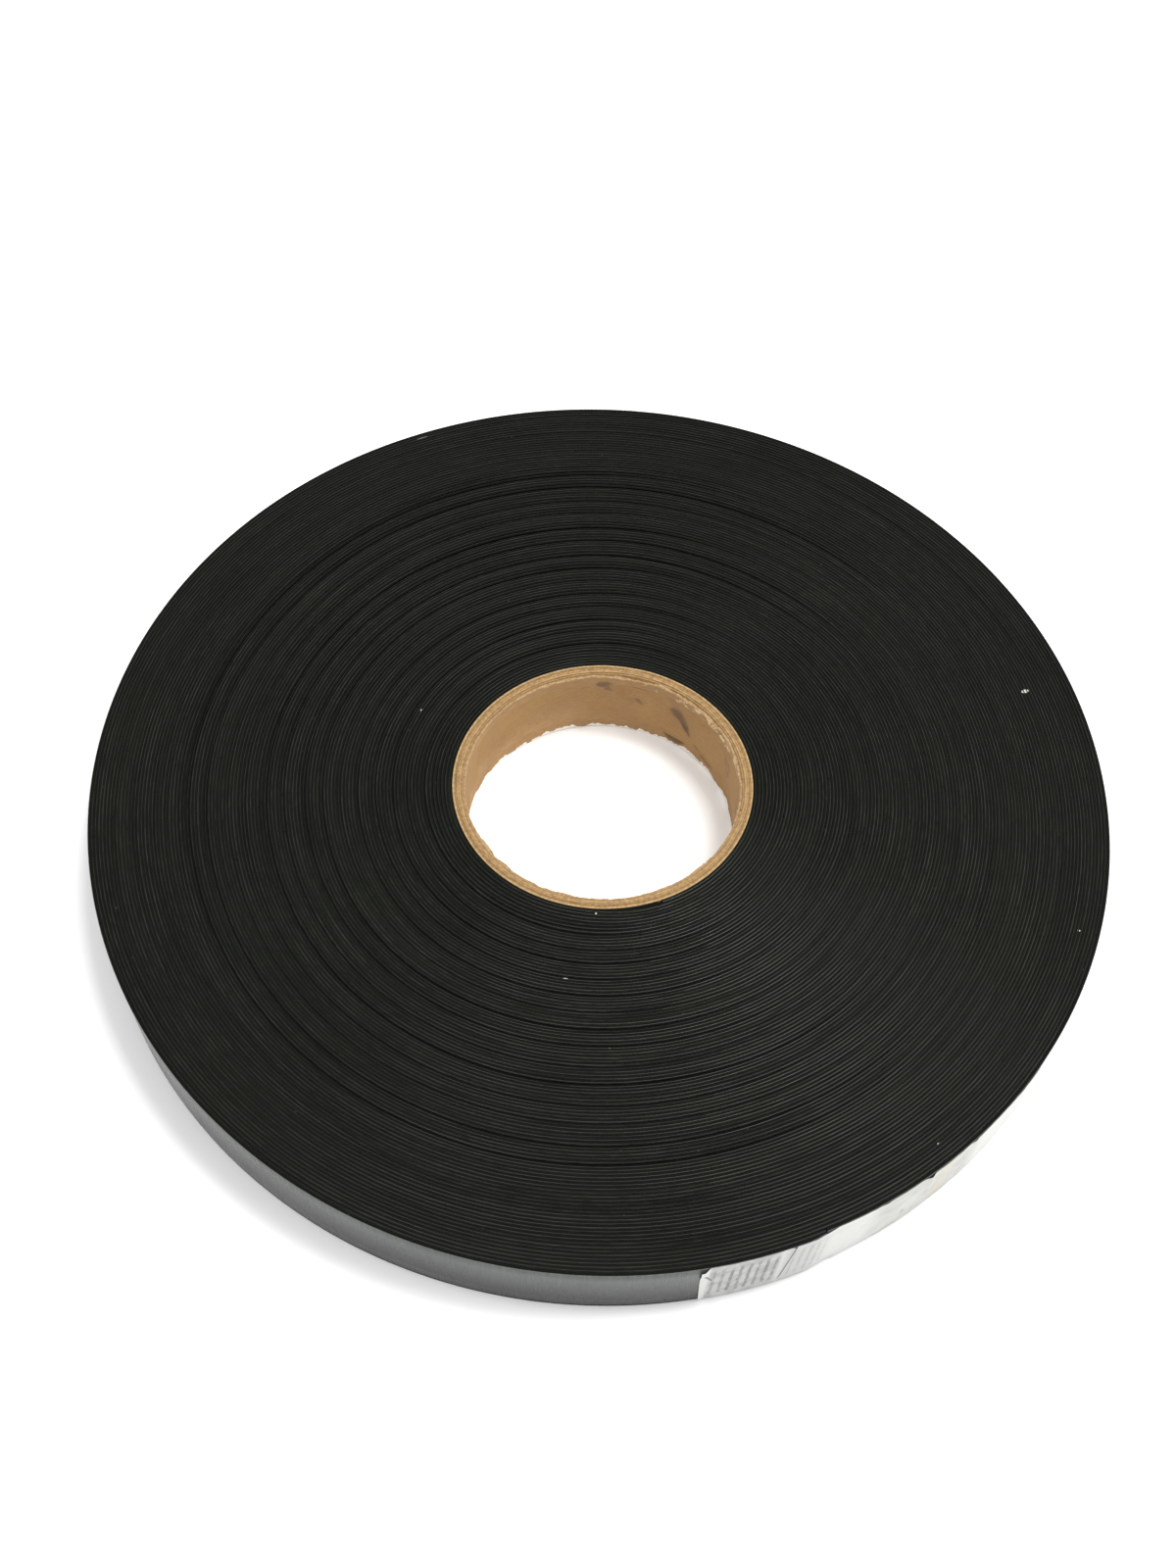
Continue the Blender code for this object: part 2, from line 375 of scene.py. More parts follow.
def tape_material():
    m = Tree("black_tape", specular=0.06)
    # Slit edge: turns differ a little in tone, and the knife left marks along them.
    group = m.noise(m.vector(m.math("MULTIPLY", m.cos, 0.7), m.math("MULTIPLY", m.sin, 0.7),
                             m.math("MULTIPLY", m.r, 210.0)), 1.0, 2.0)
    turn = m.noise(m.vector(m.math("MULTIPLY", m.cos, 1.6), m.math("MULTIPLY", m.sin, 1.6),
                            m.math("MULTIPLY", m.r, 780.0)), 1.0, 1.0)
    streak = m.noise(m.vector(m.math("MULTIPLY", m.cos, 14.0), m.math("MULTIPLY", m.sin, 14.0),
                              m.math("MULTIPLY", m.r, 3200.0)), 1.0, 2.0)
    cloud = m.noise(m.pos, 55.0, 4.0, 0.6)
    grain = m.noise(m.pos, 2600.0, 2.0, 0.6)
    tone = m.math("ADD", m.math("ADD", m.math("MULTIPLY", turn, 0.26), m.math("MULTIPLY", group, 0.28)),
                  m.math("ADD", m.math("MULTIPLY", streak, 0.18), m.math("MULTIPLY", cloud, 0.28)))
    colour = m.mix(m.remap(tone, 0.36, 0.64, 0.0, 1.0), (0.0003, 0.0005, 0.0002), (0.0044, 0.0049, 0.0034))
    colour = m.mix(m.math("MULTIPLY", m.step(grain, 0.50, 0.68), 0.50), colour, (0.0090, 0.0096, 0.0078))
    # Painted shade: tape lying more than about 0.3 to 0.6 mm below the top face is darkened, standing in for the shade
    # down in the grooves of slack turns.
    sunk_turn_shade = m.math("SUBTRACT", 1.0, m.step(m.z, H - 0.62 * MM, H - 0.30 * MM))
    colour = m.mix(m.math("MULTIPLY", sunk_turn_shade, 0.65), colour, (0.0006, 0.0007, 0.0005))
    # Greasy scuff near the rim.
    scuff = m.math("MULTIPLY", m.spot(-107.0, 0.1322, 4.2 * MM, 7.5 * MM),
                   m.step(m.noise(m.pos, 320.0, 2.0), 0.34, 0.62))
    colour = m.mix(m.math("MULTIPLY", scuff, 0.75), colour, (0.0014, 0.0014, 0.0014))
    # Dust: a few grains here and there, and some larger chips.
    dust = m.step(m.noise(m.pos, 760.0, 1.0), 0.785, 0.82)
    colour = m.mix(m.math("MULTIPLY", dust, 0.20), colour, (0.10, 0.10, 0.09))
    chips = None
    for a, r, sr, sa in ((18.3, 0.1282, 1.25, 0.70), (158.3, 0.0573, 0.35, 0.35), (-96.4, 0.0629, 0.32, 0.9),
                         (-16.6, 0.1366, 0.45, 0.3), (116.7, 0.1406, 0.22, 3.2), (-89.9, 0.0424, 0.3, 0.3),
                         (-86.1, 0.0822, 0.25, 0.25), (-75.0, 0.1128, 0.22, 0.3), (-49.0, 0.1370, 0.3, 0.25)):
        s = m.spot(a, r, sr * MM, sa * MM)
        chips = s if chips is None else m.math("MAXIMUM", chips, s)
    colour = m.mix(m.step(chips, 0.05, 0.5), colour, (0.42, 0.41, 0.37))
    rough = m.remap(m.math("ADD", m.math("MULTIPLY", streak, 0.6), m.math("MULTIPLY", cloud, 0.4)),
                    0.3, 0.7, 0.60, 0.78)
    rough = m.math("SUBTRACT", rough, m.math("MULTIPLY", scuff, 0.12))
    normal = m.bump(grain, 0.35, 0.04 * MM)
    normal = m.bump(streak, 0.30, 0.05 * MM, normal)
    m.bsdf.inputs["Specular Tint"].default_value = (0.96, 1.0, 0.86, 1.0)
    return m.finish(colour, rough, normal)


def liner_edge_material():
    m = Tree("liner_edge", specular=0.15)
    m.bsdf.inputs["Specular Tint"].default_value = (0.97, 1.0, 0.92, 1.0)
    streak = m.noise(m.vector(m.math("MULTIPLY", m.cos, 30.0), m.math("MULTIPLY", m.sin, 30.0),
                              m.math("MULTIPLY", m.r, 1500.0)), 1.0, 2.0)
    turn = m.noise(m.vector(m.math("MULTIPLY", m.cos, 2.2), m.math("MULTIPLY", m.sin, 2.2),
                            m.math("MULTIPLY", m.r, 1040.0)), 1.0, 1.0)
    patch = m.noise(m.vector(m.math("MULTIPLY", m.cos, 6.0), m.math("MULTIPLY", m.sin, 6.0),
                             m.math("MULTIPLY", m.r, 240.0)), 1.0, 2.0)
    amount = m.math("MULTIPLY", m.remap(turn, 0.34, 0.66, 0.30, 1.0), m.remap(patch, 0.3, 0.7, 0.60, 1.0))
    amount = m.math("MULTIPLY", amount, m.remap(streak, 0.34, 0.66, 0.40, 1.10))
    colour = m.mix(amount, (0.0022, 0.0026, 0.0018), (0.0250, 0.0265, 0.0230))
    return m.finish(colour, m.remap(streak, 0.3, 0.7, 0.27, 0.41), m.bump(streak, 0.2, 0.03 * MM))


def liner_material():
    m = Tree("release_liner", specular=0.10)
    across = m.noise(m.vector(m.math("MULTIPLY", m.x, 950.0), m.math("MULTIPLY", m.y, 950.0),
                              m.math("MULTIPLY", m.z, 45.0)), 1.0, 3.0, 0.6)
    band = m.noise(m.vector(m.math("MULTIPLY", m.x, 60.0), m.math("MULTIPLY", m.y, 60.0),
                            m.math("MULTIPLY", m.z, 14.0)), 1.0, 2.0)
    grain = m.noise(m.pos, 3800.0, 1.0)
    tone = m.math("ADD", m.math("MULTIPLY", across, 0.55), m.math("ADD", m.math("MULTIPLY", band, 0.30),
                                                                  m.math("MULTIPLY", grain, 0.15)))
    colour = m.mix(m.remap(tone, 0.34, 0.66, 0.0, 1.0), (0.074, 0.081, 0.076), (0.117, 0.126, 0.120))
    # Handling marks: rubbed edges, and a few grey smears.
    rub = m.math("MAXIMUM", m.step(m.z, H - 1.3 * MM, H - 0.3 * MM), m.math("SUBTRACT", 1.0, m.step(m.z, 0.5 * MM, 1.4 * MM)))
    rub = m.math("MULTIPLY", rub, m.step(m.noise(m.pos, 520.0, 2.0), 0.45, 0.65))
    colour = m.mix(m.math("MULTIPLY", rub, 0.35), colour, (0.16, 0.16, 0.155))
    smear = m.step(m.noise(m.pos, 95.0, 3.0), 0.60, 0.74)
    colour = m.mix(m.math("MULTIPLY", smear, 0.22), colour, (0.045, 0.045, 0.044))
    # Painted shade: the liner is darkened steadily from the top of the wall down to its foot, standing in for the
    # contact shadow at the floor.
    painted_foot_shade = m.remap(m.z, 2.5 * MM, 24.0 * MM, 0.96, 0.0)
    colour = m.mix(painted_foot_shade, colour, (0.010, 0.011, 0.010))
    rough = m.remap(tone, 0.34, 0.66, 0.22, 0.32)
    normal = m.bump(across, 0.10, 0.05 * MM)
    normal = m.bump(grain, 0.12, 0.02 * MM, normal)
    return m.finish(colour, rough, normal)


def label_material(printed):
    m = Tree("label_paper" if printed else "label_back", specular=0.4)
    fibre = m.noise(m.vector(m.math("MULTIPLY", m.x, 1400.0), m.math("MULTIPLY", m.y, 1400.0),
                             m.math("MULTIPLY", m.z, 420.0)), 1.0, 2.0)
    cloud = m.noise(m.pos, 130.0, 2.0)
    colour = m.mix(fibre, (0.50, 0.505, 0.48), (0.60, 0.60, 0.575))
    colour = m.mix(m.math("MULTIPLY", m.step(cloud, 0.55, 0.70), 0.20), colour, (0.37, 0.375, 0.36))
    if printed:
        deg = m.math("MULTIPLY", m.angle, 180.0 / pi)
        # Faint grey bars across the tape, uneven in length and strength.
        along = m.math("ADD", m.math("SUBTRACT", deg, m.math("MULTIPLY", m.z, 6.0)), 77.6)
        count = m.math("DIVIDE", along, 0.92)
        which = m.math("FLOOR", count)
        phase = m.math("ADD", m.math("FRACT", count), m.math("MULTIPLY", m.math("SUBTRACT", m.noise(
            m.vector(which, 7.0, m.math("MULTIPLY", m.z, 300.0)), 1.0, 1.0), 0.5), 0.5))
        bar = m.math("MULTIPLY", m.step(phase, 0.20, 0.28), m.math("SUBTRACT", 1.0, m.step(phase, 0.58, 0.68)))
        broken = m.noise(m.vector(m.math("MULTIPLY", which, 3.3), 0.0, m.math("MULTIPLY", m.z, 300.0)), 1.0, 2.0)
        strength = m.noise(m.vector(m.math("MULTIPLY", which, 5.7), 3.0, 0.0), 1.0, 0.0)
        bar = m.math("MULTIPLY", bar, m.remap(broken, 0.30, 0.50, 0.25, 1.0))
        bar = m.math("MULTIPLY", bar, m.remap(strength, 0.3, 0.7, 0.55, 1.0))
        inside = m.math("MULTIPLY", m.step(m.z, 3.0 * MM, 5.0 * MM),
                        m.math("SUBTRACT", 1.0, m.step(m.z, H - 4.4 * MM, H - 1.4 * MM)))
        first = m.math("MULTIPLY", m.step(deg, -76.9, -76.5), m.math("SUBTRACT", 1.0, m.step(deg, -69.6, -69.0)))
        second = m.math("MULTIPLY", m.step(deg, -68.2, -67.9), m.math("SUBTRACT", 1.0, m.step(deg, -64.6, -63.4)))
        third = m.math("MULTIPLY", m.step(deg, -46.9, -46.6), m.math("SUBTRACT", 1.0, m.step(deg, -45.9, -45.6)))
        where = m.math("ADD", first, m.math("MULTIPLY", m.math("ADD", second, third), 0.42))
        # A soft grey cast round the print, and the bars over it.
        cast = m.math("MULTIPLY", first, m.remap(m.noise(m.pos, 210.0, 3.0), 0.40, 0.60, 0.42, 0.78))
        colour = m.mix(cast, colour, (0.235, 0.240, 0.232))
        soft = m.math("MULTIPLY", m.step(deg, -69.4, -68.6), m.math("SUBTRACT", 1.0, m.step(deg, -66.0, -62.6)))
        colour = m.mix(m.math("MULTIPLY", soft, 0.42), colour, (0.26, 0.265, 0.258))
        ink = m.math("MULTIPLY", m.math("MULTIPLY", bar, inside), where)
        colour = m.mix(m.math("MULTIPLY", ink, 0.80), colour, (0.055, 0.055, 0.062))
        worn = m.math("MULTIPLY", m.step(deg, -59.8, -57.0), m.math("SUBTRACT", 1.0, m.step(deg, -46.5, -43.0)))
        worn = m.math("MULTIPLY", worn, m.remap(m.noise(m.pos, 160.0, 3.0), 0.35, 0.65, 0.40, 1.0))
        colour = m.mix(m.math("MULTIPLY", worn, 0.62), colour, (0.29, 0.295, 0.27))
        # Painted shade: a dark line along the fold.
        fold_shade = m.math("ABSOLUTE", m.math("SUBTRACT", deg, m.math("ADD", -69.02, m.math("MULTIPLY", m.z, 41.0))))
        fold_shade = m.math("SUBTRACT", 1.0, m.step(fold_shade, 0.03, 0.15))
        fold_shade = m.math("MULTIPLY", fold_shade, m.step(m.z, 1.5 * MM, 6.0 * MM))
        colour = m.mix(m.math("MULTIPLY", fold_shade, 0.95), colour, (0.035, 0.035, 0.035))
        # Painted shadow: a short dark line in the corner, the shade under the lifted corner's wrinkle.
        corner_shadow = m.math("ABSOLUTE", m.math("SUBTRACT", m.z, m.math("ADD", 19.2 * MM, m.math("MULTIPLY", m.math(
            "ADD", deg, 77.05), -5.0 * MM))))
        corner_shadow = m.math("SUBTRACT", 1.0, m.step(corner_shadow, 0.5 * MM, 1.1 * MM))
        corner_shadow = m.math("MULTIPLY", corner_shadow, m.math("MULTIPLY", m.step(deg, -77.3, -77.1),
                                               m.math("SUBTRACT", 1.0, m.step(deg, -76.4, -76.2))))
        colour = m.mix(m.math("MULTIPLY", corner_shadow, 0.80), colour, (0.05, 0.05, 0.05))
        # Smudges, and a yellowed patch.
        da = m.math("DIVIDE", m.math("ADD", deg, 54.1), 0.55)
        dz = m.math("DIVIDE", m.math("SUBTRACT", m.z, 8.0 * MM), 2.0 * MM)
        smudge = m.math("SUBTRACT", 1.0, m.step(m.math("ADD", m.math("MULTIPLY", da, da), m.math("MULTIPLY", dz, dz)),
                                                0.2, 1.0))
        smudge = m.math("MULTIPLY", smudge, m.step(m.noise(m.pos, 900.0, 2.0), 0.40, 0.56))
        colour = m.mix(m.math("MULTIPLY", smudge, 0.75), colour, (0.10, 0.095, 0.09))
        yellow = m.math("MULTIPLY", m.step(deg, -50.6, -49.8), m.math("SUBTRACT", 1.0, m.step(deg, -49.0, -48.0)))
        colour = m.mix(m.math("MULTIPLY", yellow, 0.35), colour, (0.52, 0.42, 0.28))
        grime = m.math("MULTIPLY", m.step(m.noise(m.pos, 420.0, 3.0, 0.65), 0.60, 0.70), m.step(deg, -62.0, -50.0))
        colour = m.mix(m.math("MULTIPLY", grime, 0.35), colour, (0.24, 0.24, 0.23))
    rough = m.remap(fibre, 0.3, 0.7, 0.42, 0.58)
    normal = m.bump(fibre, 0.15, 0.03 * MM)
    normal = m.bump(cloud, 0.25, 0.25 * MM, normal)
    return m.finish(colour, rough, normal)


def board_material(name, dark, light, edge, seed, bore=False):
    """Kraft board: the face of a ply, its fibres, and the rougher cut edge at both ends."""
    m = Tree(name, specular=0.25)
    normal_z = m.facing()
    fibre = m.noise(m.vector(m.math("ADD", m.math("MULTIPLY", m.x, 520.0), seed * 3.1),
                             m.math("MULTIPLY", m.y, 520.0), m.math("MULTIPLY", m.z, 1500.0)), 1.0, 4.0, 0.62)
    cloud = m.noise(m.vector(m.math("ADD", m.x, seed * 0.3), m.y, m.z), 70.0, 3.0)
    fine = m.noise(m.pos, 2400.0, 2.0)
    tone = m.math("ADD", m.math("MULTIPLY", fibre, 0.6), m.math("MULTIPLY", cloud, 0.4))
    colour = m.mix(m.remap(tone, 0.34, 0.66, 0.0, 1.0), dark, light)
    specks = m.step(m.noise(m.pos, 1500.0, 1.0), 0.70, 0.76)
    colour = m.mix(m.math("MULTIPLY", specks, 0.45), colour, tuple(c * 0.35 for c in dark))
    if bore:
        # Old soft stains and damp patches on the bore.
        stain = None
        arc = BORE_R
        for a, z, sa, sz, amount in ((92.0, 20.8, 2.6, 1.4, 0.78), (88.5, 19.0, 2.4, 0.9, 0.70),
                                     (77.5, 19.8, 4.6, 1.4, 0.84), (76.0, 15.3, 4.2, 1.3, 0.84),
                                     (57.5, 10.0, 5.6, 8.0, 0.20), (37.0, 4.4, 3.6, 1.4, 0.90),
                                     (44.0, 6.4, 1.6, 1.2, 0.50), (22.0, 15.0, 3.0, 4.0, 0.40),
                                     (205.0, 8.0, 6.0, 3.0, 0.22), (300.0, 16.0, 4.0, 3.5, 0.25)):
            da = m.math("MULTIPLY", m.math("WRAP", m.math("SUBTRACT", m.angle, radians(a)), pi, -pi), arc / (sa * MM))
            dz = m.math("DIVIDE", m.math("SUBTRACT", m.z, z * MM), sz * MM)
            d = m.math("ADD", m.math("MULTIPLY", da, da), m.math("MULTIPLY", dz, dz))
            s = m.math("MULTIPLY", m.math("SUBTRACT", 1.0, m.step(d, 0.45, 1.2)), amount)
            stain = s if stain is None else m.math("MAXIMUM", stain, s)
        # A dried ring, fainter on one side.
        da = m.math("MULTIPLY", m.math("WRAP", m.math("SUBTRACT", m.angle, radians(57.0)), pi, -pi), arc / (4.2 * MM))
        dz = m.math("DIVIDE", m.math("SUBTRACT", m.z, 9.8 * MM), 6.4 * MM)
        d = m.math("SQRT", m.math("ADD", m.math("MULTIPLY", da, da), m.math("MULTIPLY", dz, dz)))
        ring = m.math("SUBTRACT", 1.0, m.step(m.math("ABSOLUTE", m.math("SUBTRACT", d, 1.0)), 0.18, 0.46))
        ring = m.math("MULTIPLY", ring, m.remap(m.noise(m.pos, 130.0, 1.0), 0.35, 0.65, 0.74, 1.00))
        stain = m.math("MAXIMUM", stain, ring)
        stain = m.math("MULTIPLY", stain, m.remap(m.noise(m.pos, 420.0, 3.0, 0.65), 0.30, 0.50, 0.90, 1.0))
        colour = m.mix(stain, colour, (0.062, 0.046, 0.034))
        warm = m.step(m.noise(m.pos, 38.0, 2.0), 0.42, 0.62)
        colour = m.mix(m.math("MULTIPLY", warm, 0.35), colour, (0.29, 0.165, 0.080))
        # Torn, paler fibres along the foot, and fluff along the top.
        ragged = m.noise(m.vector(m.math("MULTIPLY", m.x, 190.0), m.math("MULTIPLY", m.y, 190.0), 0.0), 1.0, 3.0, 0.6)
        foot = m.math("SUBTRACT", m.z, m.remap(ragged, 0.36, 0.66, -0.4 * MM, 2.0 * MM))
        colour = m.mix(m.math("SUBTRACT", 1.0, m.step(foot, -0.10 * MM, 0.12 * MM)), colour, (0.86, 0.84, 0.79))
        fluff = m.math("SUBTRACT", m.z, m.remap(ragged, 0.32, 0.68, H - 0.6 * MM, H - 2.4 * MM))
        fluff = m.math("MULTIPLY", m.step(fluff, 0.0, 0.5 * MM), m.step(m.noise(m.pos, 900.0, 3.0, 0.7), 0.38, 0.56))
        colour = m.mix(m.math("MULTIPLY", fluff, 0.85), colour, (0.62, 0.46, 0.24))
        torn_side = m.math("ABSOLUTE", m.math("WRAP", m.math("SUBTRACT", m.angle, radians(42.0)), pi, -pi))
        shreds = m.math("MULTIPLY", m.math("SUBTRACT", 1.0, m.step(torn_side, radians(16.0), radians(50.0))),
                        m.step(m.z, H - 4.8 * MM, H - 3.0 * MM))
        shreds = m.math("MULTIPLY", shreds, m.step(m.noise(m.pos, 300.0, 3.0, 0.6), 0.53, 0.60))
        colour = m.mix(m.math("MULTIPLY", shreds, 0.85), colour, (0.72, 0.58, 0.36))
    cut = m.step(m.math("ABSOLUTE", normal_z), 0.45, 0.75)
    torn = m.step(m.noise(m.pos, 1100.0, 3.0, 0.6), 0.36, 0.64)
    colour = m.mix(cut, colour, m.mix(torn, tuple(c * 0.66 for c in edge), edge))
    rough = m.remap(fibre, 0.3, 0.7, 0.62, 0.85)
    normal = m.bump(fibre, 0.28, 0.10 * MM)
    normal = m.bump(fine, 0.30, 0.04 * MM, normal)
    return m.finish(colour, rough, normal)


TAPE = tape_material()
EDGE = liner_edge_material()
LINER = liner_material()
LABEL = label_material(True)
LABEL_BACK = label_material(False)


# ---------------------------------------------------------------------------
# wound turns: the strip itself, wound from the core outwards
# ---------------------------------------------------------------------------
# Section of the strip: distance from its inner side, distance below its upper edge
# (or above its lower edge), and whether it belongs to the liner.
UPPER = [(0.000, 0.30), (0.010, 0.09), (0.060, 0.015), (0.300, 0.000), (0.600, 0.010),
         (0.740, 0.050), (0.795, 0.150), (0.815, 0.300), (0.830, 0.170), (0.935, 0.150)]
LOWER = [(0.935, 0.150), (0.830, 0.170), (0.800, 0.060), (0.400, 0.000), (0.010, 0.060)]
SLOTS = [0, 0, 0, 0, 1, 1, 0, 1, 1, 1, 1, 0, 0, 0, 0]


def wound_strip(name, t0, t1, per_turn):
    count = int(round((t1 - t0) * per_turn)) + 1
    t = np.linspace(t0, t1, count)
    angle = strip_angle(t)
    base = turn_radius(t) + out_of_round(t, angle) + oval(t, angle)
    top = top_of_turn(t, angle)
    foot = foot_of_turn(t, angle)
    lean = 0.015 * MM * noise1(t * 2.1 + 3.0, 31)
    slump = 1.0 + 0.20 * noise1(t * 9.3, 32) + 0.18 * noise1(t * 47.0, 33)
    squeeze = np.where(t < 0.997, turn_radius(t) - FIRST_R, 0.0)
    points = []
    for x, down in UPPER:
        if 0.5 < x < 0.78:
            down = down * slump
        inner = squeeze if x < 0.05 else 0.0
        points.append(polar(base + x * MM + lean - inner, angle, top - down * MM))
    for x, up in LOWER:
        inner = squeeze if x < 0.05 else 0.0
        points.append(polar(base + x * MM - inner, angle, foot + up * MM))
    # The turn under the tail shows its liner once the tail is peeled.
    slots = np.tile(SLOTS, (count - 1, 1))
    slots[t[:-1] >= TURNS - 2, 9] = 2
    return sweep(name, np.stack(points, 1), [TAPE, EDGE, LINER], slots, sharp=42.0)


for n in range(BAND_COUNT):
    t0 = n * BAND_TURNS
    t1 = (n + 1) * BAND_TURNS
    piece = wound_strip(f"wound_turns_{n + 1:02d}", t0, t1, 180)
    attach(piece, "roll")
    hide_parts(f"tape_winding_{n + 1:02d}")


# ---------------------------------------------------------------------------
# last turn and tail
# ---------------------------------------------------------------------------
TAPE_SECTION_UP = [(0.000, 0.30), (0.010, 0.09), (0.060, 0.015), (0.300, 0.000), (0.600, 0.010),
                   (0.740, 0.045), (0.795, 0.130)]
TAPE_SECTION_LOW = [(0.800, 0.060), (0.400, 0.000), (0.010, 0.060)]


def thin_end(u):
    """The strip is pressed thin towards its cut end."""
    return 1.0 - 0.60 * smoothstep(LAST - 0.30, LAST, u)


def on_path(u, lift):
    t = np.asarray(u, float) / STEPS
    return polar(FIRST_R + PITCH * t + lift, strip_angle(t), 0.0 * t)


def strip_rings(u0, u1, per_step, section_up, section_low, top_drop, foot_rise, swell=None):
    count = max(2, int(round((u1 - u0) * per_step)) + 1)
    u = np.linspace(u0, u1, count)
    t = u / STEPS
    angle = strip_angle(t)
    base = FIRST_R + PITCH * t
    wave = 0.03 * MM * noise1(t * 9.0, 41)
    points = []
    thin = thin_end(u)
    for x, down in section_up:
        points.append(polar(base + x * thin * MM, angle, H - top_drop + wave - down * MM))
    for x, up in section_low:
        points.append(polar(base + x * thin * MM, angle, foot_rise + 0.5 * wave + up * MM + 0.02 * MM))
    return np.stack(points, 1)


def tape_length(name, u0, u1, node, per_step=6):
    rings = strip_rings(u0, u1, per_step, TAPE_SECTION_UP, TAPE_SECTION_LOW, 0.06 * MM, 0.0)
    piece = sweep(name, rings, [TAPE], sharp=50.0)
    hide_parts(node)
    return piece


LINER_SECTION_UP = [(0.838, 0.03), (0.850, 0.00), (0.930, 0.00), (0.950, 0.03)]
LINER_SECTION_MID = [0.2, 0.4, 0.6, 0.8]


def liner_length(name, u0, u1, node, per_step=6):
    count = max(2, int(round((u1 - u0) * per_step)) + 1)
    u = np.linspace(u0, u1, count)
    t = u / STEPS
    angle = strip_angle(t)
    base = FIRST_R + PITCH * t
    top = H - 0.12 * MM + 0.05 * MM * noise1(t * 14.0, 43)
    foot = 1.40 * MM + 0.12 * MM * noise1(t * 17.0, 44)
    base = base - (1.0 - thin_end(u)) * 0.80 * MM
    points = [polar(base + x * MM, angle, top - d * MM) for x, d in LINER_SECTION_UP]
    for share in (0.8, 0.6, 0.4, 0.2):
        out = 0.950 * MM + 0.018 * MM * noise2(t * 80.0, share * 7.0, 45)
        points.append(polar(base + out, angle, foot + (top - foot) * share))
    points += [polar(base + x * MM, angle, foot + d * MM) for x, d in LINER_SECTION_UP[::-1]]
    piece = sweep(name, np.stack(points, 1), [LINER], sharp=50.0)
    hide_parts(node)
    return piece


U0 = LAST - STEPS
piece = tape_length("last_turn_tape", U0 + 0.02, HINGE, "outer_turn_tape")
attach(piece, "roll")
piece = liner_length("last_turn_liner", U0 + 0.02, HINGE, "outer_turn_liner")
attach(piece, "roll")

for k in range(4):
    start = tuple(on_path(HINGE + k, 0.0)[:])
    end = tuple(on_path(HINGE + k + 1, 0.0)[:])
    for make, word, node in ((tape_length, "tape", f"tail_tape_{k + 1}"),
                             (liner_length, "liner", f"tail_liner_{k + 1}")):
        piece = make(f"tail_{word}_bend_{k + 1}", HINGE + k, HINGE + k + 1, node, 10)
        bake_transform(piece)
piece = tape_length("tail_tape_end", HINGE + 4, LAST, "tail_tape_4", 10)
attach(piece, "tail_4")

label_start = LAST - 13.0 / 6.0
piece = liner_length("liner_end_bend", FLAP, label_start, "liner_end_flap", 12)
tuple(on_path(FLAP, 0.0))
tuple(on_path(label_start, 0.0))
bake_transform(piece)
piece = liner_length("liner_end", label_start, LAST, "liner_end_flap", 10)
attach(piece, "liner_end")


# ---------------------------------------------------------------------------
# label across the strip's end
# ---------------------------------------------------------------------------
def label_piece():
    a0, a1 = radians(-77.5), radians(-33.3)
    cols, rows = 350, 22
    s = np.linspace(0.0, 1.0, cols)[:, None]
    h = np.linspace(0.0, 1.0, rows)[None, :]
    z_low, z_high = 0.75 * MM, H - 0.12 * MM
    z = z_low + (z_high - z_low) * h + 0.0 * s
    slant = radians(0.22) * (1.0 - 2.0 * h) * (1.0 - np.clip(1.35 * s, 0.0, 1.0))
    angle = a0 + (a1 - a0) * s + slant
    angle = angle + radians(0.30) * noise2(h * 9.0, 0.0, 51) * smoothstep(0.98, 1.0, s)
    deg = np.degrees(angle)
    t_over = TURNS + (angle - END) / (2.0 * pi)
    on_tail = FIRST_R + PITCH * t_over + LINER_OUT
    under = FIRST_R + PITCH * (t_over - 1.0) + LINER_OUT
    drop = smoothstep(-66.2, -62.6, deg)
    base = on_tail * (1.0 - drop) + np.maximum(under, 0.0) * drop + 0.07 * MM
    # Tenting over the strip's end, wrinkles, and the lifted corner.
    lift = 0.03 * MM * np.exp(-((deg + 64.1) / 0.9) ** 2)
    ridge = np.exp(-((deg + 69.02 - 41.0 * z) / 0.16) ** 2) * smoothstep(-0.1, 0.3, h) * 0.30 * MM
    ridge += np.exp(-((deg + 65.7 + 30.0 * (z - H)) / 0.30) ** 2) * 0.07 * MM * smoothstep(0.45, 0.9, h)
    ridge += np.exp(-((deg + 51.9 + 60.0 * (z - H)) / 0.42) ** 2) * 0.55 * MM * smoothstep(0.1, 0.8, h)
    ridge += np.exp(-((deg + 57.5 - 190.0 * (z - H)) / 0.45) ** 2) * 0.22 * MM
    ridge += np.exp(-((deg + 45.6 + 75.0 * (z - H)) / 0.30) ** 2) * 0.26 * MM * smoothstep(0.2, 0.9, h)
    soft = 0.07 * MM * (1.0 + noise2(deg * 0.9, h * 2.2, 52)) * smoothstep(-66.0, -60.0, deg)
    soft = soft + 0.035 * MM * (1.0 + noise2(deg * 1.7 + 40.0, h * 3.0, 53))
    corner = 1.15 * MM * smoothstep(-76.6, -77.5, deg) * smoothstep(0.62, 1.0, h)
    curl = 0.30 * MM * smoothstep(-76.9, -77.5, deg) * (1.0 - smoothstep(0.0, 0.5, h))
    end_lift = 0.05 * MM * smoothstep(-35.0, -33.3, deg) * (0.4 + 0.6 * h)
    radius = base + lift + ridge + soft + corner + curl + end_lift
    thick = 0.11 * MM
    outer = polar(radius + thick, angle, z)
    inner = polar(radius, angle, z)
    rings = np.concatenate([outer, inner[:, ::-1]], 1)
    slots = [0] * (rows - 1) + [0] + [1] * (rows - 1) + [0]
    return sweep("label", rings, [LABEL, LABEL_BACK], slots, sharp=60.0)


piece = label_piece()
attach(piece, "liner_end")
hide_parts("paper_label")


